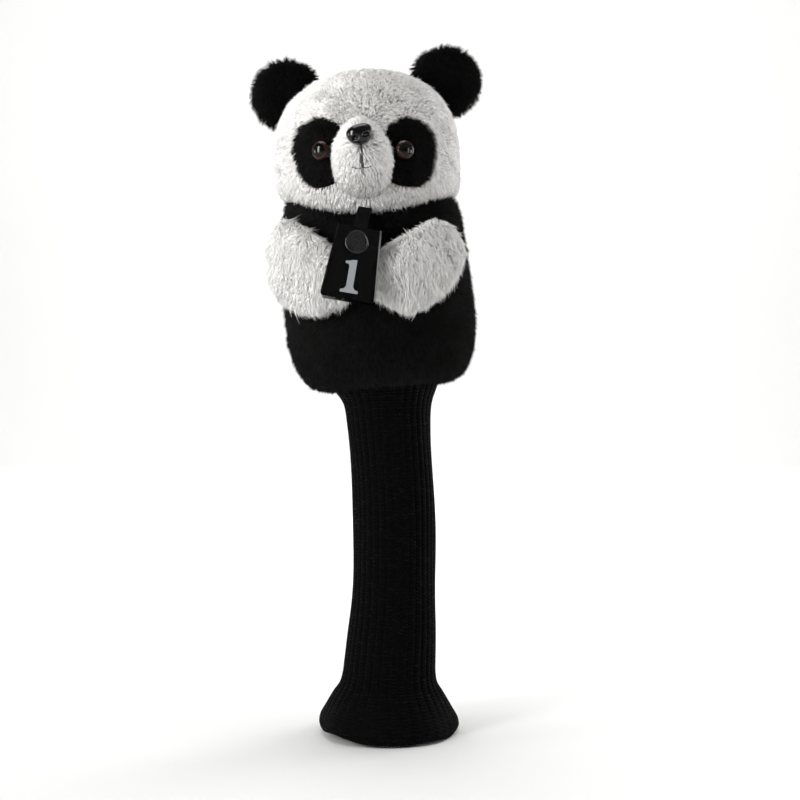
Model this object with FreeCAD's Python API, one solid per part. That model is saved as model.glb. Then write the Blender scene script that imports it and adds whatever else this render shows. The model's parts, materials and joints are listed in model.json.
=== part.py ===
import FreeCAD, Part
import math
import os
from FreeCAD import Matrix, Placement, Rotation, Vector

# A plush driver head cover: a panda figure on a long rib-knit sleeve.
# The origin is the centre of the sleeve's open hem. +Z runs up to the ears and -Y is the face side.
# The figure leans to one side about the neck, where the sleeve is sewn on, so the head, body and arms
# are built upright on their own axis and leaned at the end.

# ---- driving dimensions, in millimetres and degrees ----
neck_height = 212.0          # centre of the bend between sleeve and figure
figure_lean = 4.9            # the figure's lean towards -X
bore_radius = 23.5           # inside of the knit sleeve
knit_thickness = 3.0
bend_radius = 29.0           # spherical joint between the fixed neck and the loose sleeve
bend_gap = 0.3
body_pile = 4.5              # black plush with its pile
head_pile = 6.0              # white plush with its pile
wadding_thickness = 2.0
lining_thickness = 1.0
layer_gap = 0.15
body_top = 334.0
head_bottom = 336.0
patch_thickness = 2.6
patch_half_width = 16.5
patch_half_height = 21.5
arm_ring_radius = 69.3       # centre line of the arms round the body
arm_half_depth = 6.7
arm_half_height = 26.0
arm_cover_thickness = 2.7
arm_height = 316.0           # middle of the arms beside the figure's axis
arm_droop = 0.36             # fall of the arms for each millimetre forward, so the paws lie lower
left_shoulder = 206.0        # ends of the two arms, as angles seen from above
left_paw_end = 247.5
right_paw_end = 268.0
right_shoulder = 315.0
ear_radius = 24.0
ear_half_depth = 9.0
ear_cover_thickness = 2.5
muzzle_radius = 18.5
muzzle_half_height = 25.5
muzzle_cover_thickness = 3.0
muzzle_centre = Vector(-2.4, -57.0, 366.8)
eye_radius = 6.2
eye_dome_height = 4.0
eye_back_thickness = 0.8
eye_sink = 0.9               # how far the eye's back stands off the patch
nose_half_sizes = (7.8, 6.0, 6.0)
nostril_radius = 1.7
washer_thickness = 1.5
washer_radius = 6.0
stem_radius = 1.7
tag_depth = 8.0
tag_length = 44.8
tag_top_half_width = 13.5
tag_bottom_half_width = 17.0
tag_seam = 9.3               # parting line between cap and number case, down from the top
tag_origin = Vector(-16.4, -79.5, 318.5)
tag_roll = 9.3
tag_pitch = -8.0
tag_gap = 0.15
edge_bevel = 1.0
button_radius = 5.7
bezel_radius = 7.2
strap_width = 8.4
strap_thickness = 1.6
bar_radius = 0.9
bar_centre = (2.0, -2.6)     # depth and height of the strap bar inside the cap
strap_root = (20.1, 19.0)    # depth and height of the strap's upper end, from the tag's top

up = Vector(0, 0, 1)
origin = Vector(0, 0, 0)

# Outline of the body and of the head, as (radius, height) at the tips of the pile
body_outline = [(34.5, 222.5), (50.0, 227.0), (58.0, 239.0), (61.5, 254.0), (62.3, 268.0),
                (62.2, 284.0), (61.2, 300.0), (59.2, 316.0), (54.0, body_top)]
head_outline = [(53.0, head_bottom), (59.0, 348.0), (61.4, 365.0), (61.8, 380.0), (59.6, 395.0),
                (53.0, 409.0), (42.0, 421.0), (26.0, 429.5), (0.0, 433.5)]


# ---- helpers ----
def on_axis_plane(points):
    return [Vector(radius, 0, height) for radius, height in points]


def spline(points, reaches_axis):
    """Smooth curve through the points; one that ends on the axis crosses it level."""
    curve = Part.BSplineCurve()
    if reaches_axis:
        beyond = [Vector(-point.x, 0, point.z) for point in reversed(points[:-1])]
        curve.interpolate(Points=points + beyond)
        curve.segment(curve.FirstParameter, curve.parameter(points[-1]))
    else:
        curve.interpolate(Points=points)
    return curve


def inset(outline, distance):
    """The outline moved inwards along its normals by a distance; a negative one moves it outwards."""
    reaches_axis = outline[-1][0] == 0.0
    curve = spline(on_axis_plane(outline), reaches_axis)
    moved = []
    for point in on_axis_plane(outline):
        tangent = curve.tangent(curve.parameter(point))[0]
        moved.append((point.x - tangent.z * distance, point.z + tangent.x * distance))
    if reaches_axis:
        moved[-1] = (0.0, outline[-1][1] - distance)
    return moved


def profile_face(outer, inner):
    """The closed section between an outer and an inner outline."""
    reaches_axis = outer[-1][0] == 0.0
    outer_points = on_axis_plane(outer)
    inner_points = on_axis_plane(inner)
    edges = [spline(outer_points, reaches_axis).toShape(),
             Part.makeLine(outer_points[-1], inner_points[-1]),
             spline(inner_points, reaches_axis).toShape(),
             Part.makeLine(inner_points[0], outer_points[0])]
    return Part.Face(Part.Wire(Part.__sortEdges__(edges)))


def core_face(outline):
    """The section from an outline in to the axis."""
    points = on_axis_plane(outline)
    reaches_axis = outline[-1][0] == 0.0
    edges = [spline(points, reaches_axis).toShape()]
    foot = Vector(0, 0, points[0].z)
    top = Vector(0, 0, points[-1].z)
    if not reaches_axis:
        edges.append(Part.makeLine(points[-1], top))
    edges.append(Part.makeLine(top, foot))
    edges.append(Part.makeLine(foot, points[0]))
    return Part.Face(Part.Wire(Part.__sortEdges__(edges)))


def turned(face, start, sweep):
    solid = face.revolve(origin, up, sweep)
    solid.rotate(origin, up, start)
    return solid


def ring(inner_radius, outer_radius, bottom, top):
    outer = Part.makeCylinder(outer_radius, top - bottom, Vector(0, 0, bottom))
    return outer.cut(Part.makeCylinder(inner_radius, top - bottom + 2, Vector(0, 0, bottom - 1)))


def half_ellipse(radius, half_height):
    """Half an ellipse in the XZ plane, closed by a line along the Z axis."""
    if radius >= half_height:
        arc = Part.ArcOfEllipse(Part.Ellipse(origin, radius, half_height), -math.pi / 2, math.pi / 2)
        turn = Rotation(Vector(1, 0, 0), 90)
    else:
        arc = Part.ArcOfEllipse(Part.Ellipse(origin, half_height, radius), math.pi, 2 * math.pi)
        turn = Rotation(Vector(1, 0, 0), 90).multiply(Rotation(up, 90))
    ends = [arc.StartPoint, arc.EndPoint]
    face = Part.Face(Part.Wire([arc.toBSpline().toShape(), Part.makeLine(ends[1], ends[0])]))
    face.Placement = Placement(origin, turn)
    return face


def spheroid(radius, half_height, sweep=360):
    """A spheroid about the Z axis, or a slice of one."""
    solid = half_ellipse(radius, half_height).revolve(origin, up, sweep)
    if solid.Volume < 0:
        solid.reverse()
    return solid


def lens(radius, half_depth):
    """A cushion with a round outline and domed faces, facing along Y."""
    ball_radius = (radius ** 2 + half_depth ** 2) / (2 * half_depth)
    shift = ball_radius - half_depth
    ball = Part.makeSphere(ball_radius, Vector(0, shift, 0))
    return ball.common(Part.makeSphere(ball_radius, Vector(0, -shift, 0)))


def oval(half_width, half_depth, half_height):
    stretch = Matrix()
    stretch.scale(half_width, half_depth, half_height)
    return Part.makeSphere(1).transformGeometry(stretch)


def moved(solid, place):
    result = solid.copy()
    result.translate(place)
    return result


def box_between(low, high):
    return Part.makeBox(high[0] - low[0], high[1] - low[1], high[2] - low[2], Vector(*low))


def one_solid(shape):
    return max(shape.Solids, key=lambda solid: solid.Volume)


nodes = {}


def keep(name, shape):
    nodes[name] = shape


def lean(shape):
    result = shape.copy()
    result.rotate(Vector(0, 0, neck_height), Vector(0, 1, 0), -figure_lean)
    return result


# ---- body: four plush panels, wadding, lining ----
panda = {}
quarters = {"front_panel_left": 180, "front_panel_right": 270,
            "back_panel_right": 0, "back_panel_left": 90}

panel_inner = inset(body_outline, body_pile)
wadding_outer = inset(body_outline, body_pile + layer_gap)
wadding_inner = inset(body_outline, body_pile + layer_gap + wadding_thickness)
lining_outer = inset(body_outline, body_pile + 2 * layer_gap + wadding_thickness)
lining_inner = inset(body_outline, body_pile + 2 * layer_gap + wadding_thickness + lining_thickness)
for quarter, start in quarters.items():
    panda["body_" + quarter] = turned(profile_face(body_outline, panel_inner), start, 90)
panda["body_wadding"] = turned(profile_face(wadding_outer, wadding_inner), 0, 360)
panda["pocket_lining"] = turned(profile_face(lining_outer, lining_inner), 0, 360)

# The pocket's padded ceiling and the tape that joins head and body
ceiling_bottom = body_top + 0.3
panda["pocket_top"] = Part.makeCylinder(43.5, 1.6, Vector(0, 0, ceiling_bottom))
seam_tape = ring(44.0, 52.5, ceiling_bottom, head_bottom - 0.15)

# ---- head: four plush panels round a stuffed core ----
head_inner = inset(head_outline, head_pile)
head_names = {"face_panel_left": 180, "face_panel_right": 270,
              "head_back_panel_right": 0, "head_back_panel_left": 90}
for name, start in head_names.items():
    panda[name] = turned(profile_face(head_outline, head_inner), start, 90)
head_body = turned(core_face(head_outline), 0, 360)
stuffing = turned(core_face(inset(head_outline, head_pile + layer_gap)), 0, 360)
stuffing = stuffing.common(Part.makeCylinder(80, 120, Vector(0, 0, head_bottom + 4.0)))
keep_out = turned(core_face(inset(head_outline, -layer_gap)), 0, 360)

# ---- muzzle ----
muzzle = moved(spheroid(muzzle_radius, muzzle_half_height), muzzle_centre)
muzzle_core = moved(spheroid(muzzle_radius - muzzle_cover_thickness,
                             muzzle_half_height - muzzle_cover_thickness), muzzle_centre)
muzzle_keep_out = moved(spheroid(muzzle_radius + 0.2, muzzle_half_height + 0.2), muzzle_centre)
muzzle_cover = muzzle.cut(muzzle_core).cut(keep_out)
muzzle_stuffing = muzzle_core.cut(keep_out)

# Mouth: one upright stitch below the nose and two shallow smile lines, standing on the muzzle's pile
stitch = 0.7
thread_layer = moved(spheroid(muzzle_radius + stitch, muzzle_half_height + stitch), muzzle_centre)
thread_layer = thread_layer.cut(muzzle)
mouth_x = muzzle_centre.x
stitch_top = 370.5
stitch_foot = 355.0
smile_radius = 15.0
smile_half_width = 9.0
upright = box_between((mouth_x - 0.7, -90, stitch_foot), (mouth_x + 0.7, -57, stitch_top))
smile_centre = Vector(mouth_x, -90, stitch_foot + smile_radius)
smile = Part.makeCylinder(smile_radius + 0.4, 33, smile_centre, Vector(0, 1, 0))
smile = smile.cut(Part.makeCylinder(smile_radius - 0.4, 33, smile_centre, Vector(0, 1, 0)))
smile = smile.common(box_between((mouth_x - smile_half_width, -90, stitch_foot - 2),
                                 (mouth_x + smile_half_width, -57, stitch_foot + 6)))
mouth_thread = thread_layer.common(upright.fuse(smile))

# Nose: a moulded oval with two nostrils on a stem, held by a lock washer inside the muzzle
nose_place = Vector(-2.3, -77.3, 376.8)
nose_turn = 13.0             # the nose sits a little askew, its right side up
nose = oval(*nose_half_sizes)
for side in (-1, 1):
    nose = nose.cut(Part.makeSphere(nostril_radius, Vector(side * 3.4, -5.6, -1.6)))
nose = nose.fuse(Part.makeCylinder(stem_radius, 13.0, origin, Vector(0, 1, 0)))
nose.rotate(origin, Vector(0, 1, 0), -nose_turn)
nose.translate(nose_place)
nose_hole = Part.makeCylinder(stem_radius + 0.1, 20.0, nose_place, Vector(0, 1, 0))
nose_seat = oval(*[size + 0.1 for size in nose_half_sizes])
nose_seat.rotate(origin, Vector(0, 1, 0), -nose_turn)
nose_seat.translate(nose_place)
washer_start = nose_place + Vector(0, 8.6, 0)
nose_washer = Part.makeCylinder(5.5, washer_thickness, washer_start, Vector(0, 1, 0)).cut(nose_hole)
washer_room = Part.makeCylinder(5.7, washer_thickness + 1.6, washer_start - Vector(0, 0.2, 0),
                                Vector(0, 1, 0))
mouth_thread = mouth_thread.cut(nose_seat)
panda["muzzle_cover"] = muzzle_cover.cut(nose_seat).cut(nose_hole).cut(washer_room)
panda["muzzle_stuffing"] = muzzle_stuffing.cut(nose_seat).cut(nose_hole).cut(washer_room)
panda["mouth_thread"] = mouth_thread
panda["nose"] = nose
panda["nose_washer"] = nose_washer

# ---- eyes and eye patches ----
patch_layer = turned(profile_face(inset(head_outline, -layer_gap - patch_thickness),
                                  inset(head_outline, -layer_gap)), 180, 180)
# Each side's eye, then the centre of its patch, as distance across and height
eye_sides = {"left": (-27.2, 372.8, -27.0, 371.5), "right": (24.0, 368.6, 28.0, 367.0)}
for side, (eye_x, eye_height, patch_x, patch_height) in eye_sides.items():
    outline = Part.Ellipse(Vector(patch_x, -80, patch_height + patch_half_height),
                           Vector(patch_x + patch_half_width, -80, patch_height),
                           Vector(patch_x, -80, patch_height))
    cutter = Part.Face(Part.Wire(outline.toShape())).extrude(Vector(0, 80, 0))
    patch = one_solid(patch_layer.common(cutter).cut(muzzle_keep_out))
    reach = max(radius for radius, height in head_outline) + layer_gap + patch_thickness
    turn = math.degrees(math.asin(eye_x / reach))
    seat = Vector(eye_x, -math.sqrt(reach ** 2 - eye_x ** 2), eye_height)
    placed = Placement(seat, Rotation(up, turn))
    back = Part.makeCylinder(eye_radius, eye_back_thickness, Vector(0, -eye_sink, 0), Vector(0, 1, 0))
    back = back.fuse(Part.makeCylinder(stem_radius, 14.0, Vector(0, -eye_sink, 0), Vector(0, 1, 0)))
    ball_radius = (eye_radius ** 2 + eye_dome_height ** 2) / (2 * eye_dome_height)
    dome_seat = -eye_sink - 0.05
    dome = Part.makeSphere(ball_radius, Vector(0, dome_seat - eye_dome_height + ball_radius, 0))
    dome = dome.common(box_between((-9, -9, -9), (9, dome_seat, 9)))
    washer = Part.makeCylinder(washer_radius, washer_thickness, Vector(0, 9.9, 0), Vector(0, 1, 0))
    washer = washer.cut(Part.makeCylinder(stem_radius + 0.1, 30, Vector(0, -2, 0), Vector(0, 1, 0)))
    hole = Part.makeCylinder(stem_radius + 0.1, 17.0, Vector(0, -2.0, 0), Vector(0, 1, 0))
    room = Part.makeCylinder(washer_radius + 0.2, 5.0, Vector(0, 9.4, 0), Vector(0, 1, 0))
    for piece in (back, dome, washer, hole, room):
        piece.Placement = placed.multiply(piece.Placement)
    panda["eye_patch_" + side] = patch.cut(hole)
    panda["eye_back_" + side] = back
    panda["eye_dome_" + side] = dome
    panda["eye_washer_" + side] = washer
    panda["face_panel_" + side] = panda["face_panel_" + side].cut(hole).cut(room)
    stuffing = stuffing.cut(hole).cut(room)
panda["head_stuffing"] = stuffing

# ---- ears: a front and a back plush disc over wadding ----
ear_places = {"left": Vector(-49.5, 3.0, 423.0), "right": Vector(56.5, 3.0, 423.0)}
for side, place in ear_places.items():
    ear = moved(lens(ear_radius, ear_half_depth), place).cut(keep_out)
    core = moved(lens(ear_radius - ear_cover_thickness, ear_half_depth - ear_cover_thickness), place).cut(keep_out)
    cover = ear.cut(core)
    front_half = box_between((-100, -60, 380), (100, place.y, 460))
    panda["ear_front_" + side] = one_solid(cover.common(front_half))
    panda["ear_back_" + side] = one_solid(cover.cut(front_half))
    panda["ear_stuffing_" + side] = one_solid(core)


# ---- arms: mittens that wrap round the front of the body ----
def arm_form(half_depth, half_height, first, last):
    """A bent cushion with an oval section, rounded at both ends, from one angle to another."""
    centre = Vector(arm_ring_radius, 0, 0)
    section = half_ellipse(half_depth, half_height)
    mirrored = section.copy()
    mirrored.rotate(origin, up, 180)
    form = None
    for half in (section, mirrored):
        half.translate(centre)
        bend = half.revolve(origin, up, last - first)
        bend.rotate(origin, up, first)
        form = bend if form is None else form.fuse(bend)
    for angle, flip in ((first, 180), (last, 0)):
        cap = spheroid(half_depth, half_height, 180)
        cap.rotate(origin, up, flip)
        cap.translate(centre)
        cap.rotate(origin, up, angle)
        form = form.fuse(cap)
    droop = Matrix()
    droop.A32 = arm_droop
    form = form.removeSplitter().transformGeometry(droop)
    form.translate(Vector(0, 0, arm_height))
    return one_solid(form)


arm_spans = {"left": (left_shoulder, left_paw_end), "right": (right_paw_end, right_shoulder)}
for side, (first, last) in arm_spans.items():
    whole = arm_form(arm_half_depth, arm_half_height, first, last)
    core = arm_form(arm_half_depth - arm_cover_thickness, arm_half_height - arm_cover_thickness,
                    first, last)
    panda["arm_cover_" + side] = whole.cut(core)
    panda["arm_stuffing_" + side] = core

# ---- neck: the fixed end of the knit, sewn to the plush with a tape ----
# The neck's mouth opens out, so that its leaning wall stays clear of the straight bore below it
neck_outer = bore_radius + knit_thickness
neck_mouth = bore_radius + 1.3
neck_wall = (neck_mouth + neck_outer) / 2
drop_outer, drop_mouth, drop_wall = [math.sqrt(bend_radius ** 2 - radius ** 2)
                                     for radius in (neck_outer, neck_mouth, neck_wall)]
neck_points = [Vector(neck_outer, 0, neck_height - drop_outer), Vector(neck_outer, 0, neck_height + 2),
               Vector(33.0, 0, 224.0), Vector(30.0, 0, 224.0),
               Vector(bore_radius, 0, neck_height + 2), Vector(bore_radius, 0, neck_height - 12),
               Vector(neck_mouth, 0, neck_height - drop_mouth)]
neck_arc = Part.Arc(neck_points[-1], Vector(neck_wall, 0, neck_height - drop_wall), neck_points[0]).toShape()
neck_edges = [Part.makeLine(a, b) for a, b in zip(neck_points, neck_points[1:])] + [neck_arc]
panda["sleeve_neck"] = turned(Part.Face(Part.Wire(Part.__sortEdges__(neck_edges))), 0, 360)
panda["sleeve_seam_tape"] = ring(30.2, 33.2, 224.2, 226.0)

# ---- the loose knit sleeve, flaring to its hem ----
hem_outline = [(neck_outer, 84.0), (27.6, 62.0), (29.7, 38.0), (33.9, 24.0), (39.2, 11.0), (45.0, 0.0)]
hem_inside = [(radius - knit_thickness, height) for radius, height in hem_outline]
sleeve_radius = bend_radius + bend_gap
top_outer = neck_height - math.sqrt(sleeve_radius ** 2 - neck_outer ** 2)
top_inner = neck_height - math.sqrt(sleeve_radius ** 2 - bore_radius ** 2)
top_middle = neck_height - math.sqrt(sleeve_radius ** 2 - (bore_radius + knit_thickness / 2) ** 2)
outer_curve = Part.BSplineCurve()
outer_curve.interpolate(Points=on_axis_plane(hem_outline), InitialTangent=Vector(0, 0, -1),
                        FinalTangent=Vector(0.5, 0, -1))
inner_curve = Part.BSplineCurve()
inner_curve.interpolate(Points=on_axis_plane(hem_inside), InitialTangent=Vector(0, 0, -1),
                        FinalTangent=Vector(0.5, 0, -1))
straight_top = hem_outline[0][1]
sleeve_edges = [
    Part.makeLine(Vector(neck_outer, 0, top_outer), Vector(neck_outer, 0, straight_top)),
    outer_curve.toShape(),
    Part.makeLine(Vector(hem_outline[-1][0], 0, 0), Vector(hem_inside[-1][0], 0, 0)),
    inner_curve.toShape(),
    Part.makeLine(Vector(bore_radius, 0, straight_top), Vector(bore_radius, 0, top_inner)),
    Part.Arc(Vector(bore_radius, 0, top_inner), Vector(bore_radius + knit_thickness / 2, 0, top_middle),
             Vector(neck_outer, 0, top_outer)).toShape()]
keep("knit_sleeve", turned(Part.Face(Part.Wire(Part.__sortEdges__(sleeve_edges))), 0, 360))


# ---- number tag, built flat: X across, -Y out of its face, Z up from its top edge ----
def half_width_at(height):
    return tag_top_half_width - height * (tag_bottom_half_width - tag_top_half_width) / tag_length


def tag_slab(top, bottom, front, back):
    """A slice of the tag's trapezium between two heights and two depths."""
    corners = [(-half_width_at(top), top), (half_width_at(top), top),
               (half_width_at(bottom), bottom), (-half_width_at(bottom), bottom)]
    points = [Vector(x, front, z) for x, z in corners]
    face = Part.Face(Part.makePolygon(points + points[:1]))
    return face.extrude(Vector(0, back - front, 0))


def disc(radius, front, back, height=-tag_seam):
    return Part.makeCylinder(radius, back - front, Vector(0, front, height), Vector(0, 1, 0))


def side_edges(shape, depth, least_reach):
    """The long slanted side edges of a slab's face at one depth, which are bevelled."""
    found = []
    for edge in shape.Edges:
        ends = [vertex.Point for vertex in edge.Vertexes]
        if len(ends) != 2 or any(abs(end.y - depth) > 0.01 for end in ends):
            continue
        if abs(ends[0].z - ends[1].z) > 3 and min(abs(end.x) for end in ends) > least_reach:
            found.append(edge)
    return found


def tag_place(shape):
    result = shape.copy()
    result.rotate(origin, Vector(1, 0, 0), tag_pitch)
    result.rotate(origin, Vector(0, 1, 0), tag_roll)
    result.translate(tag_origin)
    return result


front = -tag_depth / 2
back = tag_depth / 2
boss_radius = bezel_radius + 0.3
tag = {}

cap_front = tag_slab(0, -tag_seam, front, 0)
cap_front = cap_front.makeChamfer(edge_bevel, side_edges(cap_front, front, 10))
cap_front = cap_front.fuse(disc(boss_radius, front, 0))
cap_front = cap_front.cut(disc(bezel_radius + 0.05, front - 1, -2.5))
cap_front = cap_front.cut(disc(button_radius + 0.35, -3.0, -1.0)).cut(disc(2.8, -1.5, -0.25))

cap_back = tag_slab(0, -tag_seam, 0.05, back)
cap_back = cap_back.makeChamfer(edge_bevel, side_edges(cap_back, back, 10))
tongue_half_width = 7.5
tongue_foot = -32.5
cap_back = cap_back.fuse(box_between((-tongue_half_width, 0.05, tongue_foot),
                                     (tongue_half_width, 2.0, -tag_seam + 0.5)))
strap_slot = box_between((-strap_width / 2 - 0.4, 0, -4.9), (strap_width / 2 + 0.4, back + 1, 1))
bar_hole = Part.makeCylinder(bar_radius, 12.4, Vector(-6.2, *bar_centre), Vector(1, 0, 0))
cap_back = cap_back.cut(strap_slot).cut(bar_hole)

screws = []
for side in (-1, 1):
    spot = Vector(side * 9.6, back + 0.1, -4.8)
    shank = Part.makeCylinder(0.8, 6.0, spot, Vector(0, -1, 0))
    head = Part.makeCylinder(1.5, 1.1, spot, Vector(0, -1, 0))
    slot = Part.makeBox(3.2, 0.5, 0.5, spot + Vector(-1.6, -0.45, -0.25))
    screw = shank.fuse(head)
    cap_front = cap_front.cut(screw)
    cap_back = cap_back.cut(screw)
    screws.append(screw.cut(slot))
tag["tag_cap_front"] = cap_front
tag["tag_cap_back"] = cap_back
tag["cap_screws"] = Part.makeCompound(screws)
tag["strap_bar"] = bar_hole

bezel = disc(bezel_radius, front - 0.9, -2.55).cut(disc(button_radius + 0.15, front - 2, -2))
rim_edges = [edge for edge in bezel.Edges
             if len(edge.Vertexes) == 1 and abs(edge.Vertexes[0].Point.y - (front - 0.9)) < 0.01]
tag["button_bezel"] = bezel.makeFillet(0.5, rim_edges)

# The press button: a disc with a diamond grid of small studs, on a short post inside its spring
button = disc(button_radius, front - 0.6, -2.3)
stud_pitch = 2.3
for row in range(-3, 4):
    for column in range(-3, 4):
        across = (column - row) * stud_pitch / 2
        height = (column + row) * stud_pitch / 2
        if math.hypot(across, height) < button_radius - 0.9:
            stud = Part.makeCone(0.55, 0.2, 0.4, Vector(across, front - 0.6, -tag_seam + height),
                                 Vector(0, -1, 0))
            button = button.fuse(stud)
tag["button"] = button
tag["button_spring"] = disc(2.6, -0.95, -0.35).cut(disc(1.3, -2, 0))

case_top = -tag_seam - tag_gap
case_split = 2.3
case_front = tag_slab(case_top, -tag_length, front, case_split)
case_front = case_front.makeChamfer(edge_bevel, side_edges(case_front, front, 10))
case_front = case_front.cut(disc(boss_radius + 0.2, front - 1, 0.05))
case_front = case_front.cut(box_between((-tongue_half_width - 0.2, -0.15, tongue_foot - 0.5),
                                        (tongue_half_width + 0.2, case_split + 1, 0)))
case_back = tag_slab(case_top, -tag_length, case_split, back)
case_back = case_back.makeChamfer(edge_bevel, side_edges(case_back, back, 10))


def round_corners(shape):
    """Rounds the two bottom corners of the case."""
    corners = [edge for edge in shape.Edges
               if len(edge.Vertexes) == 2
               and all(vertex.Point.z < -tag_length + 0.01 for vertex in edge.Vertexes)
               and abs(edge.Vertexes[0].Point.x - edge.Vertexes[1].Point.x) < 0.01]
    return shape.makeFillet(2.6, corners)


case_outline = round_corners(tag_slab(case_top, -tag_length, front - 1, back + 1))
case_front = case_front.common(case_outline)
tag["number_case_back"] = case_back.common(case_outline)

# The raised numeral, a seriffed one set into the case's face
numeral_half_stem = 2.15
numeral_foot = -40.9
numeral_points = [(-5.4, numeral_foot), (5.4, numeral_foot), (5.4, numeral_foot + 1.7),
                  (3.2, numeral_foot + 2.3), (numeral_half_stem, numeral_foot + 4.0),
                  (numeral_half_stem, -20.4), (-0.6, -20.6), (-2.2, -21.3), (-4.7, -21.6), (-4.7, -23.0),
                  (-2.7, -23.4), (-numeral_half_stem, -24.6), (-numeral_half_stem, numeral_foot + 4.0),
                  (-3.2, numeral_foot + 2.3), (-5.4, numeral_foot + 1.7)]
numeral_wire = Part.makePolygon([Vector(x, front - 0.25, z) for x, z in numeral_points + numeral_points[:1]])
numeral = Part.Face(numeral_wire).extrude(Vector(0, 0.75, 0))
tag["number_case"] = case_front.cut(numeral)
tag["numeral"] = numeral

# The webbing: a loop round the bar, then a flat strap up to the neck seam
bar_line = Vector(-strap_width / 2, *bar_centre)
reach_depth = strap_root[0] - bar_centre[0]
reach_height = strap_root[1] - bar_centre[1]
strap_length = math.hypot(reach_depth, reach_height)
strap_slope = math.degrees(math.atan2(reach_depth, reach_height))
loop = Part.makeCylinder(bar_radius + 0.9, strap_width, bar_line, Vector(1, 0, 0))
sheet = Part.makeBox(strap_width, strap_thickness, strap_length,
                     Vector(-strap_width / 2, -strap_thickness / 2, 0))
sheet.rotate(origin, Vector(1, 0, 0), -strap_slope)
sheet.translate(Vector(0, *bar_centre))
loop_eye = Part.makeCylinder(bar_radius + 0.1, strap_width + 2, bar_line - Vector(1, 0, 0), Vector(1, 0, 0))
tag["tag_strap"] = loop.fuse(sheet).cut(loop_eye)
for name, shape in tag.items():
    keep(name, tag_place(shape))

# The strap's upper end is caught in the neck seam
root_place = Placement(tag_origin, Rotation(Vector(0, 1, 0), tag_roll)).multiply(
    Placement(origin, Rotation(Vector(1, 0, 0), tag_pitch))).multVec(Vector(0, *strap_root))
upright_root = Placement(Vector(0, 0, neck_height), Rotation(Vector(0, 1, 0), figure_lean)).multVec(
    root_place - Vector(0, 0, neck_height))
anchor = box_between((upright_root.x - strap_width / 2, upright_root.y + strap_thickness / 2 + 0.5,
                      ceiling_bottom + 0.05),
                     (upright_root.x + strap_width / 2, -46.0, ceiling_bottom + 1.45))
panda["strap_anchor"] = anchor
panda["neck_seam_tape"] = seam_tape.cut(anchor)

for name, shape in panda.items():
    keep(name, lean(shape))

# ---- write one file for each piece ----
os.makedirs("parts", exist_ok=True)
for name, shape in nodes.items():
    if not shape.isValid() or shape.Volume <= 0:
        print("check this piece:", name, shape.isValid(), shape.Volume)
    shape.exportStep("parts/" + name + ".step")
    print(name, len(shape.Solids), "solid(s)", round(shape.Volume / 1000, 2), "cm3")
print(len(nodes), "pieces")
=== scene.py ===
import bmesh
import bpy
import json
import math
import numpy as np
from mathutils import Matrix, Vector, kdtree


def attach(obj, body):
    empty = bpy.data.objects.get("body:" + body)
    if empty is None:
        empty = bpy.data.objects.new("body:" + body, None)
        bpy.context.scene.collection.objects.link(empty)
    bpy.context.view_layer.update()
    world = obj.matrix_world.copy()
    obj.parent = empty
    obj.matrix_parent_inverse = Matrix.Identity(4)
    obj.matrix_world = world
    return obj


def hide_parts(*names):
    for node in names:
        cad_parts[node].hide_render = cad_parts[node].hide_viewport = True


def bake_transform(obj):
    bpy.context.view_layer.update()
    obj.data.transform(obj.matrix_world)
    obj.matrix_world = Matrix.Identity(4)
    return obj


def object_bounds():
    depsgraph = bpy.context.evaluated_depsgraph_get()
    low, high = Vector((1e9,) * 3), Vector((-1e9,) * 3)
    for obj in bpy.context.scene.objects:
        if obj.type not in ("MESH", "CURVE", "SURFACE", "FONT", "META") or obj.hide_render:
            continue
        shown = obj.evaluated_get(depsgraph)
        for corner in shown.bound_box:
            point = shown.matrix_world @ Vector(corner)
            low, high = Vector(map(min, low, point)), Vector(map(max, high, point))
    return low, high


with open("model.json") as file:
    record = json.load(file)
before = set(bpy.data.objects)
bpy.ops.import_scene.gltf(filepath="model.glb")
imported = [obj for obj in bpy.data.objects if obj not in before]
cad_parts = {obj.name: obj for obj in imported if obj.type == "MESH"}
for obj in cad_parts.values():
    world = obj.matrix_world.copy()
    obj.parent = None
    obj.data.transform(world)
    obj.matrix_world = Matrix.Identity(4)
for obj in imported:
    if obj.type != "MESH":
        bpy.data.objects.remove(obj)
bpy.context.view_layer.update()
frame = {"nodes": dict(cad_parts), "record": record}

mm = 0.001
figure = {"neckHeight": 212.0, "lean": 4.9}   # the plush figure leans about the neck, as its CAD solids do
nodes = frame["nodes"]


def leaned():
    neck = Vector((0, 0, figure["neckHeight"] * mm))
    turn = Matrix.Rotation(math.radians(-figure["lean"]), 4, "Y")
    return Matrix.Translation(neck) @ turn @ Matrix.Translation(-neck)


# camera first
camera = {"place": (0.008, -0.90, 0.215), "lens": 61.0}
bpy.ops.object.camera_add(location=camera["place"], rotation=(math.radians(90), 0, 0))
bpy.context.object.data.lens = camera["lens"]
bpy.context.object.data.sensor_width = 36.0
bpy.context.scene.camera = bpy.context.object
bpy.context.scene.view_settings.view_transform = "Standard"
print("camera set")


def deselectAll():
    bpy.ops.object.select_all(action="DESELECT")


def selectOnly(piece):
    deselectAll()
    piece.select_set(True)
    bpy.context.view_layer.objects.active = piece


def outward(points):
    out = points * [1, 1, 0]
    return out / np.maximum(np.linalg.norm(out, axis=1)[:, None], 1e-6)


def turnNormalsOut(piece):
    selectOnly(piece)
    bpy.ops.object.mode_set(mode="EDIT")
    bpy.ops.mesh.select_all(action="SELECT")
    bpy.ops.mesh.normals_make_consistent(inside=False)
    bpy.ops.object.mode_set(mode="OBJECT")


def thicken(piece, thickness, offset):
    selectOnly(piece)
    bpy.ops.object.modifier_add(type="SOLIDIFY")
    wall = piece.modifiers[0]
    wall.thickness = thickness * mm
    wall.offset = offset
    bpy.ops.object.modifier_apply(modifier=wall.name)


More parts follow.
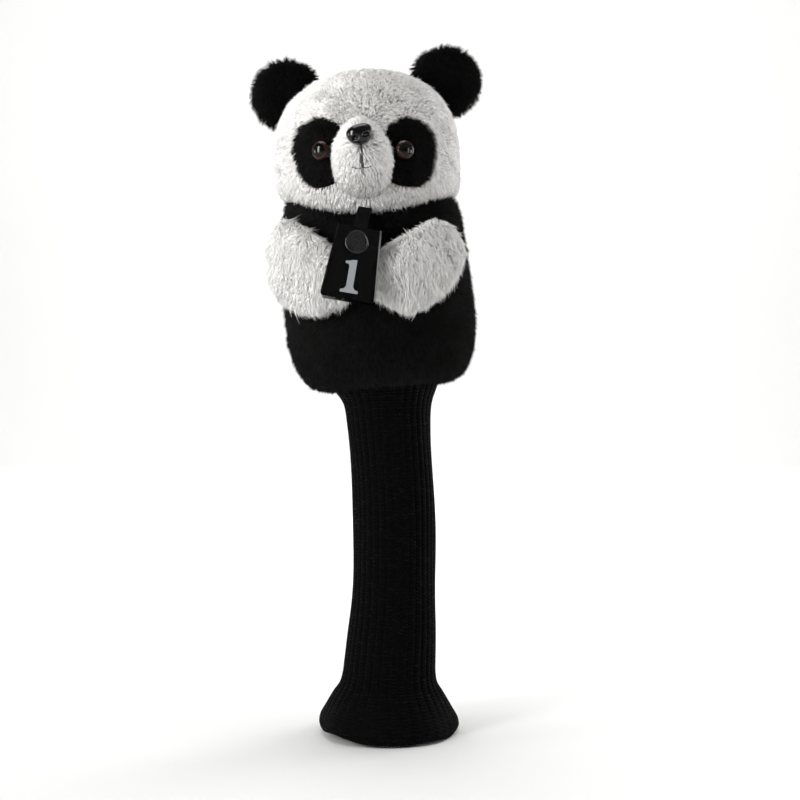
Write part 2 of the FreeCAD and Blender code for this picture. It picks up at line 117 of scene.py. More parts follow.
def quarterPanels(skin, quarters):
    # cuts a skin along its centre and side seams into four panels
    for seed, (name, (node, sideX, sideY)) in enumerate(quarters.items()):
        panel = skin.copy()
        panel.data = skin.data.copy()
        bpy.context.collection.objects.link(panel)
        panel.name = name
        selectOnly(panel)
        bpy.ops.object.mode_set(mode="EDIT")
        for plane in ((-sideX, 0, 0), (0, -sideY, 0)):
            bpy.ops.mesh.select_all(action="SELECT")
            bpy.ops.mesh.bisect(plane_co=(0, 0, 0), plane_no=plane, clear_outer=True)
        bpy.ops.object.mode_set(mode="OBJECT")
        yield seed, panel, node, sideY
    bpy.data.objects.remove(skin)


def linear(hexColour, alpha=1.0):
    channels = [int(hexColour[i:i + 2], 16) / 255 for i in (1, 3, 5)]
    return [c / 12.92 if c <= 0.04045 else ((c + 0.055) / 1.055) ** 2.4 for c in channels] + [alpha]


def addNode(tree, kind, settings=None, inputs=None, links=None):
    node = tree.nodes.new(kind)
    for key, value in (settings or {}).items():
        setattr(node, key, value)
    for key, value in (inputs or {}).items():
        node.inputs[key].default_value = value
    for key, source in (links or {}).items():
        tree.links.new(source, node.inputs[key])
    return node


def newMaterial(name, shader):
    material = bpy.data.materials.new(name)
    material.use_nodes = True
    tree = material.node_tree
    surface = tree.nodes["Principled BSDF"]
    for key, value in shader.items():
        surface.inputs[key].default_value = value
    return material, tree, surface


def raiseGrain(tree, surface, kind, settings, inputs, strength, depth):
    # a fine texture on the piece's own coordinates, turned to relief; depth is in mm
    place = addNode(tree, "ShaderNodeTexCoord")
    texture = addNode(tree, kind, settings, inputs, {"Vector": place.outputs["Object"]})
    bump = addNode(tree, "ShaderNodeBump", None, {"Strength": strength, "Distance": depth * mm},
                   {"Height": texture.outputs["Fac"]})
    tree.links.new(bump.outputs[0], surface.inputs["Normal"])


def smoothOutline(points, steps=12):
    points = [np.array(p, float) for p in points]
    padded = [2 * points[0] - points[1]] + points + [2 * points[-1] - points[-2]]
    result = []
    for a, b, c, d in zip(padded, padded[1:], padded[2:], padded[3:]):
        for t in np.linspace(0, 1, steps, endpoint=False):
            result.append(0.5 * (2 * b + (c - a) * t + (2 * a - 5 * b + 4 * c - d) * t ** 2
                                 + (3 * b - a - 3 * c + d) * t ** 3))
    result.append(points[-1])
    return np.array(result)


def outlineAt(outline, fraction):
    steps = np.concatenate([[0], np.cumsum(np.linalg.norm(np.diff(outline, axis=0), axis=1))])
    along = fraction * steps[-1]
    return np.interp(along, steps, outline[:, 0]), np.interp(along, steps, outline[:, 1])


def readPoints(mesh):
    points = np.empty(len(mesh.vertices) * 3)
    mesh.vertices.foreach_get("co", points)
    return points.reshape(-1, 3)


def writePoints(mesh, points):
    mesh.vertices.foreach_set("co", np.asarray(points, float).ravel())
    mesh.update()


def ripple(points, size, seed):
    # soft unevenness between -1 and 1, with waves about size metres long
    draw = np.random.default_rng(seed)
    total = np.zeros(len(points))
    for _ in range(6):
        wave = draw.normal(size=3)
        wave *= 2 * math.pi / (np.linalg.norm(wave) * size * draw.uniform(0.7, 1.5))
        total += np.sin(points @ wave + draw.uniform(0, 6.28))
    return total / 6


def ballSkin(name, segments, rings, place):
    deselectAll()
    bpy.ops.mesh.primitive_uv_sphere_add(segments=segments, ring_count=rings, radius=1)
    skin = bpy.context.object
    skin.name = name
    writePoints(skin.data, place(readPoints(skin.data)))
    bpy.ops.object.shade_smooth()
    return skin


def seamRise(turn, height, near, far):
    # the seam between head and body climbs at the sides; near is its height, far is where the climb has died away
    climb = np.where(np.cos(turn) < 0, 14.0, 7.0) * np.abs(np.cos(turn)) ** 2 - 4.5 * np.sin(turn) ** 2
    return climb * np.clip((height - far) / (near - far), 0, 1)


def turnedSkin(name, outline, segments, rings, riseFrom):
    curve = smoothOutline(outline)

    def place(points):
        fraction = 1 - np.arccos(np.clip(points[:, 2], -1, 1)) / math.pi
        radius, height = outlineAt(curve, fraction)
        turn = np.arctan2(points[:, 1], points[:, 0])
        height = height + seamRise(turn, height, 338.0, riseFrom)
        return np.stack([radius * np.cos(turn), radius * np.sin(turn), height], 1) * mm

    return ballSkin(name, segments, rings, place)


# plush: tufts of pile sewn through a skin
def growPile(skin, pile, seed, bare=None, comb=None):
    draw = np.random.default_rng(seed)
    mesh = skin.data
    mesh.calc_loop_triangles()
    points = readPoints(mesh)
    corners = np.empty(len(mesh.loop_triangles) * 3, int)
    mesh.loop_triangles.foreach_get("vertices", corners)
    corners = corners.reshape(-1, 3)
    vertexNormals = np.empty(len(mesh.vertices) * 3)
    mesh.vertex_normals.foreach_get("vector", vertexNormals)
    vertexNormals = vertexNormals.reshape(-1, 3)
    a, b, c = (points[corners[:, i]] for i in range(3))
    areas = np.linalg.norm(np.cross(b - a, c - a), axis=1) / 2
    count = int(areas.sum() / mm ** 2 * pile["perSquareMm"])
    chosen = draw.choice(len(areas), size=count, p=areas / areas.sum())
    u, v = draw.random(count), draw.random(count)
    flip = u + v > 1
    u[flip], v[flip] = 1 - u[flip], 1 - v[flip]
    w = 1 - u - v
    root = a[chosen] * w[:, None] + b[chosen] * u[:, None] + c[chosen] * v[:, None]
    normal = sum(vertexNormals[corners[chosen, i]] * k[:, None] for i, k in enumerate((w, u, v)))
    normal /= np.linalg.norm(normal, axis=1)[:, None]
    if bare is not None:
        keep = ~bare(root)
        root, normal = root[keep], normal[keep]
        count = len(root)
    size = pile["swirl"] * mm
    flow = np.stack([ripple(root, size, seed + k) for k in range(3)], 1) * pile["swirlPull"]
    flow = flow + (comb(root) if comb else np.array([0, 0, -1.0]))
    flow -= normal * (flow * normal).sum(1)[:, None]
    flow += draw.normal(size=(count, 3)) * pile["stray"]
    length = pile["length"] * mm * draw.uniform(0.75, 1.15, count) * (1 + 0.15 * ripple(root, size * 1.3, seed + 9))
    middle = root + (normal + flow * 0.25) * (length * 0.5)[:, None]
    tip = root + (normal * pile["stand"] + flow * 0.75) * length[:, None]
    clumps = max(8, int(count / pile["perClump"]))
    picked = draw.choice(count, clumps, replace=False)
    tree = kdtree.KDTree(clumps)
    for i, k in enumerate(picked):
        tree.insert(root[k], i)
    tree.balance()
    owner = np.array([tree.find(p)[1] for p in root])
    tip += (tip[picked][owner] - tip) * pile["clumping"]
    middle += (middle[picked][owner] - middle) * pile["clumping"] * 0.4
    side = np.cross(tip - root, draw.normal(size=(count, 3)))
    side /= np.linalg.norm(side, axis=1)[:, None]
    along = tip - root
    along /= np.linalg.norm(along, axis=1)[:, None]
    other = np.cross(along, side)
    thick = pile["width"] * mm / 2 * draw.uniform(0.7, 1.2, count)
    root = root - normal * 0.4 * mm
    # a long tuft is a bent three-sided spike with a ring at its middle, a short one is straight
    levels = [(root, 1.0), (middle, 0.85)] if pile["bent"] else [(root, 1.0)]
    rings = []
    for centre, share in levels:
        for angle in (0, 2.094, 4.189):
            offset = side * math.cos(angle) + other * math.sin(angle)
            rings.append(centre + offset * (thick * share)[:, None])
    rings.append(tip)
    each = len(rings)
    tufts = np.stack(rings, 1).reshape(-1, 3)
    base = len(points)
    first = base + each * np.arange(count)[:, None]
    quads = np.concatenate([first + np.array([i, (i + 1) % 3, 3 + (i + 1) % 3, 3 + i])
                            for i in range(3) if pile["bent"]] or [np.zeros((count, 0), int)], 1)
    tips = np.concatenate([first + np.array([each - 4 + i, each - 4 + (i + 1) % 3, each - 1]) for i in range(3)], 1)
    skinCorners = np.empty(len(mesh.loops), int)
    mesh.loops.foreach_get("vertex_index", skinCorners)
    skinSizes = np.empty(len(mesh.polygons), int)
    mesh.polygons.foreach_get("loop_total", skinSizes)
    loops = np.concatenate([skinCorners, quads.reshape(-1), tips.reshape(-1)])
    sizes = np.concatenate([skinSizes, np.full(quads.size // 4, 4), np.full(3 * count, 3)])
    plush = bpy.data.meshes.new(skin.name)
    plush.vertices.add(base + each * count)
    plush.vertices.foreach_set("co", np.concatenate([points, tufts]).ravel())
    plush.loops.add(len(loops))
    plush.loops.foreach_set("vertex_index", loops.astype(np.int32))
    plush.polygons.add(len(sizes))
    starts = np.concatenate([[0], np.cumsum(sizes)[:-1]])
    plush.polygons.foreach_set("loop_start", starts.astype(np.int32))
    plush.polygons.foreach_set("use_smooth", np.ones(len(sizes), bool))
    plush.update(calc_edges=True)
    plush.validate()
    along = [0, 0, 0, 0.55, 0.55, 0.55, 1.0] if pile["bent"] else [0, 0, 0, 1.0]
    reach = np.concatenate([np.zeros(base), np.tile(along, count)])
    shade = np.concatenate([np.full(base, 0.5), np.repeat(draw.random(count), each)])
    facing = np.concatenate([vertexNormals, np.repeat(normal, each, 0)])
    plush.attributes.new("pileReach", "FLOAT", "POINT").data.foreach_set("value", reach)
    plush.attributes.new("pileShade", "FLOAT", "POINT").data.foreach_set("value", shade)
    plush.attributes.new("pileFacing", "FLOAT_VECTOR", "POINT").data.foreach_set("vector", facing.ravel())
    skin.data = plush
    print(skin.name, "tufts", count, "triangles", sum(sizes - 2))
    return skin


def finishPlush(piece, body, material, replaced, upright=True):
    if upright:
        piece.data.transform(leaned())
    piece.data.materials.clear()
    piece.data.materials.append(material)
    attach(piece, body)
    if replaced:
        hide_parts(*replaced)


def plushMaterial(name, rootShadeColour, tipLightColour, sheenColour, sheen, soft=0.6, spread=0.11):
    material, tree, surface = newMaterial(name, {"Roughness": 0.9, "Specular IOR Level": 0.2,
                                                 "Sheen Weight": sheen, "Sheen Roughness": 0.45,
                                                 "Sheen Tint": linear(sheenColour)})
    reach = addNode(tree, "ShaderNodeAttribute", {"attribute_name": "pileReach"})
    shade = addNode(tree, "ShaderNodeAttribute", {"attribute_name": "pileShade"})
    # root-to-tip blend: painted shade at the roots, painted light on the tips
    rootShadeBlend = addNode(tree, "ShaderNodeMix", {"data_type": "RGBA"}, {6: linear(rootShadeColour), 7: linear(tipLightColour)},
                    {0: reach.outputs["Fac"]})
    level = addNode(tree, "ShaderNodeMapRange", None, {"To Min": 0.97 - spread, "To Max": 0.97 + spread},
                    {"Value": shade.outputs["Fac"]})
    final = addNode(tree, "ShaderNodeHueSaturation", None, None,
                    {"Color": rootShadeBlend.outputs[2], "Value": level.outputs[0]})
    tree.links.new(final.outputs[0], surface.inputs["Base Color"])
    # fine fibre scatters light the way the cloth under it faces, so the tufts take most of their shading from the skin
    facing = addNode(tree, "ShaderNodeAttribute", {"attribute_name": "pileFacing"})
    turned = addNode(tree, "ShaderNodeVectorTransform", {"vector_type": "NORMAL", "convert_from": "OBJECT",
                                                         "convert_to": "WORLD"}, None, {0: facing.outputs["Vector"]})
    own = addNode(tree, "ShaderNodeNewGeometry")
    mixed = addNode(tree, "ShaderNodeMix", {"data_type": "VECTOR"}, {0: soft},
                    {4: own.outputs["Normal"], 5: turned.outputs[0]})
    unit = addNode(tree, "ShaderNodeVectorMath", {"operation": "NORMALIZE"}, None, {0: mixed.outputs[1]})
    tree.links.new(unit.outputs[0], surface.inputs["Normal"])
    return material


# brushed fibre: painted shade darkens the roots under bright tips
whitePlush = plushMaterial("longPileWhitePolyester", "#dddad5", "#fbfaf9", "#ffffff", 0.2, 0.5, 0.09)
# looser curled fibre: deeper painted shade at the roots greys the gaps between its locks
curledPlush = plushMaterial("curledPileWhitePolyester", "#d0cec9", "#fbfaf9", "#ffffff", 0.2, 0.45, 0.14)
# dyed fibre: a soft grey painted sheen at the tips over black roots
blackPlush = plushMaterial("shortPileBlackPolyester", "#010101", "#0c0c0b", "#6a6a6a", 0.012, 0.1, 0.8)

head = {"outline": [(0, 341), (36, 339), (51.5, 340), (56.2, 347), (57.6, 362), (57.8, 380), (55.8, 394),
                    (49.8, 407), (39.2, 418), (23.8, 425.8), (0, 429.0)],
        "pile": {"bent": True, "length": 6.4, "perSquareMm": 2.75, "width": 0.5, "swirl": 15, "swirlPull": 0.6,
                 "stray": 0.2, "stand": 0.54, "perClump": 8, "clumping": 0.26},
        "backPerSquareMm": 2.3, "middle": 384, "seamDepth": 0.9, "seamWidth": 3.0, "lumpSize": 0.05, "lumpHeight": 1.2,
        "patches": {"Left": (-27.0, 373.0), "Right": (25.4, 368.6)}, "patchSize": (16.5, 21.5), "patchTilt": 12.0,
        "muzzle": (-2.4, 366.8), "muzzleSize": (17.6, 23.5)}


def inOval(points, centre, size, grow=0.0):
    across = (points[:, 0] / mm - centre[0]) / (size[0] + grow)
    high = (points[:, 2] / mm - centre[1]) / (size[1] + grow)
    return (across ** 2 + high ** 2 < 1) & (points[:, 1] < 0)


def inPatch(points, side, grow=0.0):
    centre = head["patches"][side]
    tilt = math.radians(head["patchTilt"]) * (1 if side == "Left" else -1)
    across, high = points[:, 0] / mm - centre[0], points[:, 2] / mm - centre[1]
    along = (across * math.cos(tilt) + high * math.sin(tilt)) / (head["patchSize"][0] + grow)
    upward = (high * math.cos(tilt) - across * math.sin(tilt)) / (head["patchSize"][1] + grow)
    return (np.abs(along) ** 2.5 + np.abs(upward) ** 2.5 < 1) & (points[:, 1] < 0)


def headBare(points):
    covered = inOval(points, head["muzzle"], head["muzzleSize"], -2.0)
    for side in head["patches"]:
        covered |= inPatch(points, side)
    return covered | (np.hypot(points[:, 0], points[:, 1]) < 44 * mm) & (points[:, 2] < 360 * mm)


def headComb(points):
    away = points - np.array([head["muzzle"][0], -50, 372]) * mm
    away /= np.linalg.norm(away, axis=1)[:, None]
    part = np.exp(-np.abs(points[:, 0] / mm) / 3.0) * (points[:, 1] < 0)
    flow = away * 0.55 + np.array([0, 0, -0.45])
    flow[:, 0] += np.sign(points[:, 0]) * part * 0.5
    return flow


def sewSeam(points, x, depth, width):
    near = np.exp(-((points[:, 0] / mm - x) / width) ** 2)
    return points - outward(points) * (near * depth * mm)[:, None]


headSkin = turnedSkin("plushHead", head["outline"], 96, 64, 376.0)
shaped = readPoints(headSkin.data)
shaped = sewSeam(shaped, 0.0, head["seamDepth"], head["seamWidth"])
out = shaped - np.array([0, 0, head["middle"]]) * mm
lumps = ripple(shaped, head["lumpSize"], 3) * head["lumpHeight"] * mm
shaped += out / np.linalg.norm(out, axis=1)[:, None] * lumps[:, None]
writePoints(headSkin.data, shaped)
quarters = {"faceLeft": ("face_panel_left", -1, -1), "faceRight": ("face_panel_right", 1, -1),
            "headBackLeft": ("head_back_panel_left", -1, 1), "headBackRight": ("head_back_panel_right", 1, 1)}
for seed, panel, node, sideY in quarterPanels(headSkin, quarters):
    pile = dict(head["pile"]) if sideY < 0 else dict(head["pile"], perSquareMm=head["backPerSquareMm"])
    growPile(panel, pile, 20 + seed, headBare, headComb)
    extra = ["head_stuffing", "neck_seam_tape"] if panel.name == "faceLeft" else []
    finishPlush(panel, "plush_figure", whitePlush, [node] + extra)
print("head done")


def onHead(x, height, lift):
    curve = smoothOutline(head["outline"])
    outer = curve[len(curve) // 4:]
    radius = np.interp(height, outer[:, 1], outer[:, 0]) + lift
    return np.stack([x, -np.sqrt(np.maximum(radius ** 2 - x ** 2, 1.0)), height], -1)


patchPile = {"bent": False, "length": 4.2, "perSquareMm": 3.2, "width": 0.6, "swirl": 12, "swirlPull": 0.6,
             "stray": 0.3, "stand": 0.85, "perClump": 10, "clumping": 0.3}
for seed, (side, centre) in enumerate(head["patches"].items()):
    def placePatch(points, centre=centre, side=side):
        tilt = math.radians(head["patchTilt"]) * (1 if side == "Left" else -1)
        reach = np.hypot(points[:, 0], points[:, 1])
        square = reach / np.maximum((np.abs(points[:, 0]) ** 2.5 + np.abs(points[:, 1]) ** 2.5) ** 0.4, 1e-9)
        along = points[:, 0] * square * head["patchSize"][0]
        upward = points[:, 1] * square * head["patchSize"][1]
        x = centre[0] + along * math.cos(tilt) - upward * math.sin(tilt)
        height = centre[1] + along * math.sin(tilt) + upward * math.cos(tilt)
        lift = 0.3 + 2.0 * np.maximum(points[:, 2], 0) ** 0.5
        return onHead(x, height, lift) * mm
    patch = ballSkin("eyePatch" + side, 40, 24, placePatch)
    growPile(patch, patchPile, 40 + seed,
             lambda p: inOval(p, head["muzzle"], head["muzzleSize"], 0.5), None)
    finishPlush(patch, "plush_figure", blackPlush, ["eye_patch_" + side.lower()])

muzzle = {"centre": (-2.4, -56.0, 366.4), "size": (16.8, 17.5, 23.0),
          "pile": {"bent": True, "length": 4.6, "perSquareMm": 4.0, "width": 0.45, "swirl": 9, "swirlPull": 0.5,
                   "stray": 0.24, "stand": 0.66, "perClump": 8, "clumping": 0.5}}


def placeMuzzle(points):
    shaped = points.copy()
    shaped[:, 0] *= 1 - 0.2 * points[:, 2] * np.abs(points[:, 2])      # narrow at the nose, full at the cheeks
    return (np.array(muzzle["centre"]) + shaped * np.array(muzzle["size"])) * mm


def muzzleBare(points):
    nose = ((points[:, 0] / mm + 2.3) / 6.6) ** 2 + ((points[:, 2] / mm - 376.8) / 5.0) ** 2 < 1
    mouth = (np.abs(points[:, 0] / mm + 2.4) < 0.8) & (points[:, 2] > 355.5 * mm) & (points[:, 2] < 376 * mm)
    return (points[:, 1] > -52 * mm) | ((nose | mouth) & (points[:, 1] < -66 * mm))


def muzzleComb(points):
    away = points - np.array([-2.4, -74, 373]) * mm
    away /= np.linalg.norm(away, axis=1)[:, None]
    return away * 0.9 + np.array([0, 0, -0.35])


muzzleSkin = ballSkin("muzzle", 48, 32, placeMuzzle)
growPile(muzzleSkin, muzzle["pile"], 50, muzzleBare, muzzleComb)
finishPlush(muzzleSkin, "plush_figure", whitePlush, ["muzzle_cover", "muzzle_stuffing"])

nosePiece = {"centre": (-2.3, -78.6, 376.8), "size": (7.9, 5.6, 6.2), "turn": 13.0}


def placeNose(points):
    shaped = np.sign(points) * np.abs(points) ** 0.88
    shaped[:, 0] *= 1 + 0.18 * points[:, 2]
    for side in (-1, 1):
        gap = np.hypot((points[:, 0] - side * 0.42) / 0.26, (points[:, 2] + 0.28) / 0.2)
        dent = np.exp(-gap ** 4) * (points[:, 1] < 0)
        shaped[:, 1] += dent * 0.38
    shaped = shaped * np.array(nosePiece["size"])
    turn = math.radians(nosePiece["turn"])
    x = shaped[:, 0] * math.cos(turn) - shaped[:, 2] * math.sin(turn)
    z = shaped[:, 0] * math.sin(turn) + shaped[:, 2] * math.cos(turn)
    return (np.stack([x, shaped[:, 1], z], 1) + np.array(nosePiece["centre"])) * mm


nose = ballSkin("noseMoulded", 96, 64, placeNose)
nose.data.transform(leaned())
# injection-moulded ABS: a wet black shine
noseMaterial = newMaterial("mouldedGlossyNosePlastic", {"Base Color": linear("#020202"), "Roughness": 0.07,
                                                        "IOR": 1.42})[0]
nose.data.materials.append(noseMaterial)
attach(nose, "plush_figure")
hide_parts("nose")

# eyes: a glossy dome with a brown ring and a black pupil
eyes = {"Left": (-27.2, 372.8), "Right": (24.0, 368.6)}
eyeShape = {"radius": 6.3, "dome": 4.4, "reach": 63.6, "pupil": 0.66}
# clear-coated acrylic: deep gloss over a brown ring
eyeMaterial, eyeTree, eyeSurface = newMaterial("paintedGlossyEyeAcrylic", {"Roughness": 0.04, "IOR": 1.32})
ringReach = addNode(eyeTree, "ShaderNodeAttribute", {"attribute_name": "eyeReach"})
ringRamp = addNode(eyeTree, "ShaderNodeValToRGB", None, None, {"Fac": ringReach.outputs["Fac"]})
ringRamp.color_ramp.elements[0].position = eyeShape["pupil"] - 0.03
ringRamp.color_ramp.elements[0].color = linear("#030303")
ringRamp.color_ramp.elements[1].position = eyeShape["pupil"] + 0.04
ringRamp.color_ramp.elements[1].color = linear("#2c1408")
ringRamp.color_ramp.elements.new(0.98).color = linear("#160a04")
eyeTree.links.new(ringRamp.outputs[0], eyeSurface.inputs["Base Color"])
for side, (eyeX, eyeHeight) in eyes.items():
    turn = math.asin(eyeX / eyeShape["reach"])

    def placeEye(points, turn=turn, eyeX=eyeX, eyeHeight=eyeHeight):
        depth = np.where(points[:, 1] < 0, eyeShape["dome"], 1.0) * points[:, 1]
        x = points[:, 0] * eyeShape["radius"]
        y = depth - 0.4
        seatY = -math.sqrt(eyeShape["reach"] ** 2 - eyeX ** 2)
        return np.stack([eyeX + x * math.cos(turn) - y * math.sin(turn),
                         seatY + x * math.sin(turn) + y * math.cos(turn),
                         eyeHeight + points[:, 2] * eyeShape["radius"]], 1) * mm

    eye = ballSkin("eye" + side, 64, 40, placeEye)
    unit = readPoints(eye.data)
    centre = unit.mean(0)
    axis = np.array([math.sin(turn), -math.cos(turn), 0])
    flat = unit - centre
    flat -= axis * (flat @ axis)[:, None]
    reach = np.linalg.norm(flat, axis=1) / (eyeShape["radius"] * mm)
    eye.data.attributes.new("eyeReach", "FLOAT", "POINT").data.foreach_set("value", reach)
    eye.data.transform(leaned())
    eye.data.materials.append(eyeMaterial)
    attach(eye, "plush_figure")
    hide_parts("eye_dome_" + side.lower(), "eye_back_" + side.lower())

# mouth: three short runs of black thread on the muzzle
# twisted polyester: faint glints
threadMaterial = newMaterial("twistedBlackThread", {"Base Color": linear("#0a0a0a"), "Roughness": 0.6,
                                                    "Sheen Weight": 0.2})[0]


def onMuzzle(x, height, lift):
    size = np.array(muzzle["size"]) + lift
    inside = 1 - ((x - muzzle["centre"][0]) / size[0]) ** 2 - ((height - muzzle["centre"][2]) / size[2]) ** 2
    return (x, muzzle["centre"][1] - size[1] * math.sqrt(max(inside, 0.0)), height)


stitches = {"mouthUpright": [(-2.4, 372.0 - 2.4 * i) for i in range(7)],
            "smileLeft": [(-2.4 - 1.6 * i, 357.2 - 0.8 * math.sin(i * 0.6) + 0.1 * i * i) for i in range(5)],
            "smileRight": [(-2.4 + 1.5 * i, 357.2 - 0.8 * math.sin(i * 0.6) + 0.1 * i * i) for i in range(5)]}
for name, route in stitches.items():
    line = bpy.data.curves.new(name, "CURVE")
    line.dimensions = "3D"
    line.bevel_depth = (0.75 if name == "mouthUpright" else 0.24) * mm
    line.bevel_resolution = 3
    line.use_fill_caps = True
    spline = line.splines.new("NURBS")
    spline.points.add(len(route) - 1)
    for point, (x, height) in zip(spline.points, route):
        point.co = [value * mm for value in onMuzzle(x, height, 2.2 if name == "mouthUpright" else 3.1)] + [1.0]
    spline.order_u = 3
    spline.use_endpoint_u = True
    thread = bpy.data.objects.new(name, line)
    bpy.context.collection.objects.link(thread)
    selectOnly(thread)
    bpy.ops.object.convert(target="MESH")
    thread = bpy.context.object
    thread.data.transform(leaned())
    thread.data.materials.append(threadMaterial)
    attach(thread, "plush_figure")
    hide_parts("mouth_thread")
print("face done")

ears = {"Left": (-49.5, 3.0, 423.0), "Right": (56.5, 3.0, 423.0)}
earShape = {"radius": 21.8, "depth": 6.3,
            "pile": {"bent": False, "length": 4.6, "perSquareMm": 3.0, "width": 0.55, "swirl": 10, "swirlPull": 0.6,
                     "stray": 0.35, "stand": 0.85, "perClump": 9, "clumping": 0.35}}
for seed, (side, centre) in enumerate(ears.items()):
    def placeEar(points, centre=centre):
        wide = np.sign(points) * np.abs(points) ** np.array([1.0, 0.8, 1.0])
        shaped = wide * np.array([earShape["radius"], earShape["depth"], earShape["radius"]])
        dish = np.exp(-((points[:, 0]) ** 2 + (points[:, 2]) ** 2) / 0.35) * (points[:, 1] < 0)
        shaped[:, 1] += dish * 2.5
        return (shaped + np.array(centre)) * mm
    ear = ballSkin("ear" + side, 48, 32, placeEar)
    growPile(ear, earShape["pile"], 60 + seed,
             lambda p: np.linalg.norm((p / mm - [0, 0, head["middle"]]) / [57, 57, 45], axis=1) < 0.97, None)
    node = side.lower()
    finishPlush(ear, "plush_figure", blackPlush,
                ["ear_front_" + node, "ear_back_" + node, "ear_stuffing_" + node])
print("ears done")

body = {"outline": [(0, 227), (20, 226.0), (34, 225.8), (47.8, 229.6), (55.4, 240.6), (58.8, 254.5), (59.8, 268),
                    (59.5, 284), (58.4, 300), (56.9, 316), (56.0, 327), (53.0, 335), (46, 338), (0, 339)],
        "pile": {"bent": False, "length": 5.0, "perSquareMm": 1.9, "width": 0.7, "swirl": 13, "swirlPull": 0.55,
                 "stray": 0.28, "stand": 0.7, "perClump": 8, "clumping": 0.3},
        "lumpSize": 0.05, "lumpHeight": 0.8, "gathers": 17, "gatherDepth": 0.018, "neckRadius": 34}


def bodyBare(points):
    return np.hypot(points[:, 0], points[:, 1]) < body["neckRadius"] * mm


bodySkin = turnedSkin("plushBody", body["outline"], 96, 56, 296.0)
shaped = readPoints(bodySkin.data)
turn = np.arctan2(shaped[:, 1], shaped[:, 0])
gather = np.clip((236 - shaped[:, 2] / mm) / 14, 0, 1)
pleats = body["gatherDepth"] * np.sin(turn * body["gathers"]) * gather
shaped *= (1 + pleats)[:, None] * [1, 1, 0] + np.array([0, 0, 1])
shaped += outward(shaped) * (ripple(shaped, body["lumpSize"], 5) * body["lumpHeight"] * mm)[:, None]
writePoints(bodySkin.data, shaped)
bodyQuarters = {"bodyFrontLeft": ("body_front_panel_left", -1, -1), "bodyFrontRight": ("body_front_panel_right", 1, -1),
                "bodyBackLeft": ("body_back_panel_left", -1, 1), "bodyBackRight": ("body_back_panel_right", 1, 1)}
for seed, panel, node, sideY in quarterPanels(bodySkin, bodyQuarters):
    growPile(panel, body["pile"], 70 + seed, bodyBare, None)
    finishPlush(panel, "plush_figure", blackPlush,
                [node] + (["body_wadding", "strap_anchor"] if panel.name == "bodyFrontLeft" else []))
print("body done")

# each arm's outline from shoulder to paw: angle seen from above, height of its middle and half its width
arms = {"ring": 69.0, "halfDepth": 5.6, "lumpSize": 0.028, "lumpHeight": 1.2, "sewnInside": 65.5,
        "shape": {"Left": [(202, 304, 20), (209, 307, 25), (217, 306, 27.5), (228, 300.5, 27), (241, 294.5, 23.5),
                           (250, 292, 20), (258, 291, 17)],
                  "Right": [(319, 303, 17), (312, 303, 20), (304, 300, 23), (296, 295, 23.5), (285, 290, 23.5),
                            (276, 289.5, 20), (262, 290, 16)]},
        "pile": {"bent": True, "length": 6.6, "perSquareMm": 3.4, "width": 0.46, "swirl": 11, "swirlPull": 0.9,
                 "stray": 0.3, "stand": 0.56, "perClump": 9, "clumping": 0.34}}
for seed, (side, shape) in enumerate(arms["shape"].items()):
    shape = np.array(shape, float)
    route = smoothOutline(shape)

    def placeArm(points, route=route):
        share = (1 - points[:, 0]) / 2
        around = np.sqrt(np.maximum(1 - points[:, 0] ** 2, 1e-9))
        deep, high = points[:, 1] / around, points[:, 2] / around
        full = (1 - np.abs(points[:, 0]) ** 2.6) ** 0.5
        step = share * (len(route) - 1)
        angle, middle, half = (np.interp(step, np.arange(len(route)), route[:, k]) for k in range(3))
        depth = arms["halfDepth"] * (1 + 0.2 * np.sin(share * math.pi))
        radius = arms["ring"] + 0.5 - deep * full * depth
        height = middle + high * full * (half - 2.0) + 0.6
        angle = np.radians(angle)
        return np.stack([radius * np.cos(angle), radius * np.sin(angle), height], 1) * mm
    arm = ballSkin("arm" + side, 56, 64, placeArm)
    turnNormalsOut(arm)
    shaped = readPoints(arm.data)
    lumps = ripple(shaped, arms["lumpSize"], 11 + seed) * arms["lumpHeight"] * mm
    shaped += outward(shaped) * lumps[:, None]
    writePoints(arm.data, shaped)
    growPile(arm, arms["pile"], 80 + seed,
             lambda p: np.hypot(p[:, 0], p[:, 1]) < arms["sewnInside"] * mm, None)
    node = side.lower()
    finishPlush(arm, "arm_" + node, curledPlush, ["arm_cover_" + node, "arm_stuffing_" + node])
print("arms done")

# knit sleeve: ribs round a tube, flaring to a wavy hem
sleeve = {"ribs": 34, "perRib": 12, "rows": 110, "ribDepth": 1.1, "thickness": 1.4,
          "hemWave": 1.8, "hemSway": 1.8, "cornerLift": 3.6, "sway": 4.4, "fold": 0.5, "foldPitch": 17, "length": 232,
          "stitch": 2.2,
          "outline": [(45.2, -1.0), (44.6, 3.0), (41.0, 10.6), (36.2, 19.4), (31.4, 27.0), (29.6, 34.0), (28.9, 44.0),
                      (28.0, 62.0), (26.7, 84.0), (25.9, 110.0), (25.7, 140.0), (25.9, 170.0), (26.6, 195.0),
                      (27.8, 212.0), (31.8, 222.0), (34.5, 227.5)]}
deselectAll()
bpy.ops.mesh.primitive_cylinder_add(vertices=sleeve["ribs"] * sleeve["perRib"], radius=1, depth=1,
                                    end_fill_type="NOTHING")
knit = bpy.context.object
knit.name = "knitSleeve"
shell = bmesh.new()
shell.from_mesh(knit.data)
upright = [edge for edge in shell.edges if abs(edge.verts[0].co.z - edge.verts[1].co.z) > 0.5]
bmesh.ops.subdivide_edges(shell, edges=upright, cuts=sleeve["rows"], use_grid_fill=True)
shell.to_mesh(knit.data)
shell.free()
unit = readPoints(knit.data)
curve = smoothOutline(sleeve["outline"])
turn = np.arctan2(unit[:, 1], unit[:, 0])
share = unit[:, 2] + 0.5
radius, height = outlineAt(curve, share)
ribWave = np.cos(turn * sleeve["ribs"])
ribShape = 1 - 2 * np.abs((1 - ribWave) / 2) ** 2.2       # broad ridges with narrow valleys between them
